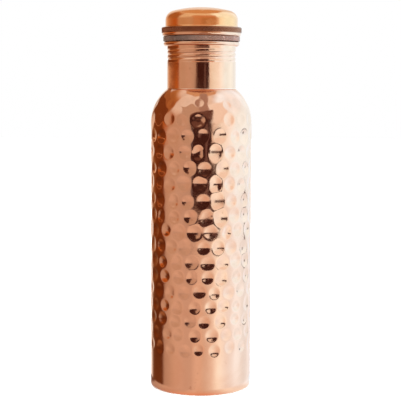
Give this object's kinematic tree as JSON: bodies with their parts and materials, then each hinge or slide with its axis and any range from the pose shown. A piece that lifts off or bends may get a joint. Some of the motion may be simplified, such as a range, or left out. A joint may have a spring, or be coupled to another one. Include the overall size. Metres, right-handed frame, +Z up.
{
  "type": "water bottle",
  "caption": "Tall round hammered copper water bottle with a rounded shoulder, a narrow threaded neck and a domed screw cap with a knurled ring and a gasket.",
  "frame": {"origin": "centre of the round base, on the surface the bottle stands on", "axes": "+Z up along the bottle's axis towards the cap; X and Y are level, and the bottle looks the same from every side but for its thread"},
  "size_m": [0.072, 0.072, 0.271],
  "materials": {
    "hammered_copper": "hammered copper, polished and lacquered",
    "bright_copper": "plain pressed copper",
    "polished_copper": "smooth polished copper",
    "golden_copper": "smooth copper under a warm golden lacquer",
    "dark_copper": "knurled copper, darkened",
    "braze": "braze metal",
    "silicone": "matt silicone"
  },
  "bodies": {
    "bottle": {"body_shell": "hammered_copper", "base_plate": "bright_copper", "base_braze": "braze", "neck_collar": "polished_copper", "neck_braze": "braze"},
    "gasket": {"cap_gasket": "silicone"},
    "cap": {"cap_plug": "polished_copper", "cap_crown": "golden_copper", "cap_knurled_ring": "dark_copper"}
  },
  "joints": [
    {"name": "cap_rise", "type": "slide", "parent": "bottle", "child": "gasket", "axis": [0, 0, 1], "range_m": [0, 0.0225]},
    {"name": "cap_turn", "type": "hinge", "parent": "gasket", "child": "cap", "pos_m": [0, 0, 0.25], "axis": [0, 0, 1], "range_deg": [0, 2520]}
  ],
  "couplings": [
    {"joint": "cap_rise", "follows": "cap_turn", "m_per_rad": 0.0005093}
  ]
}
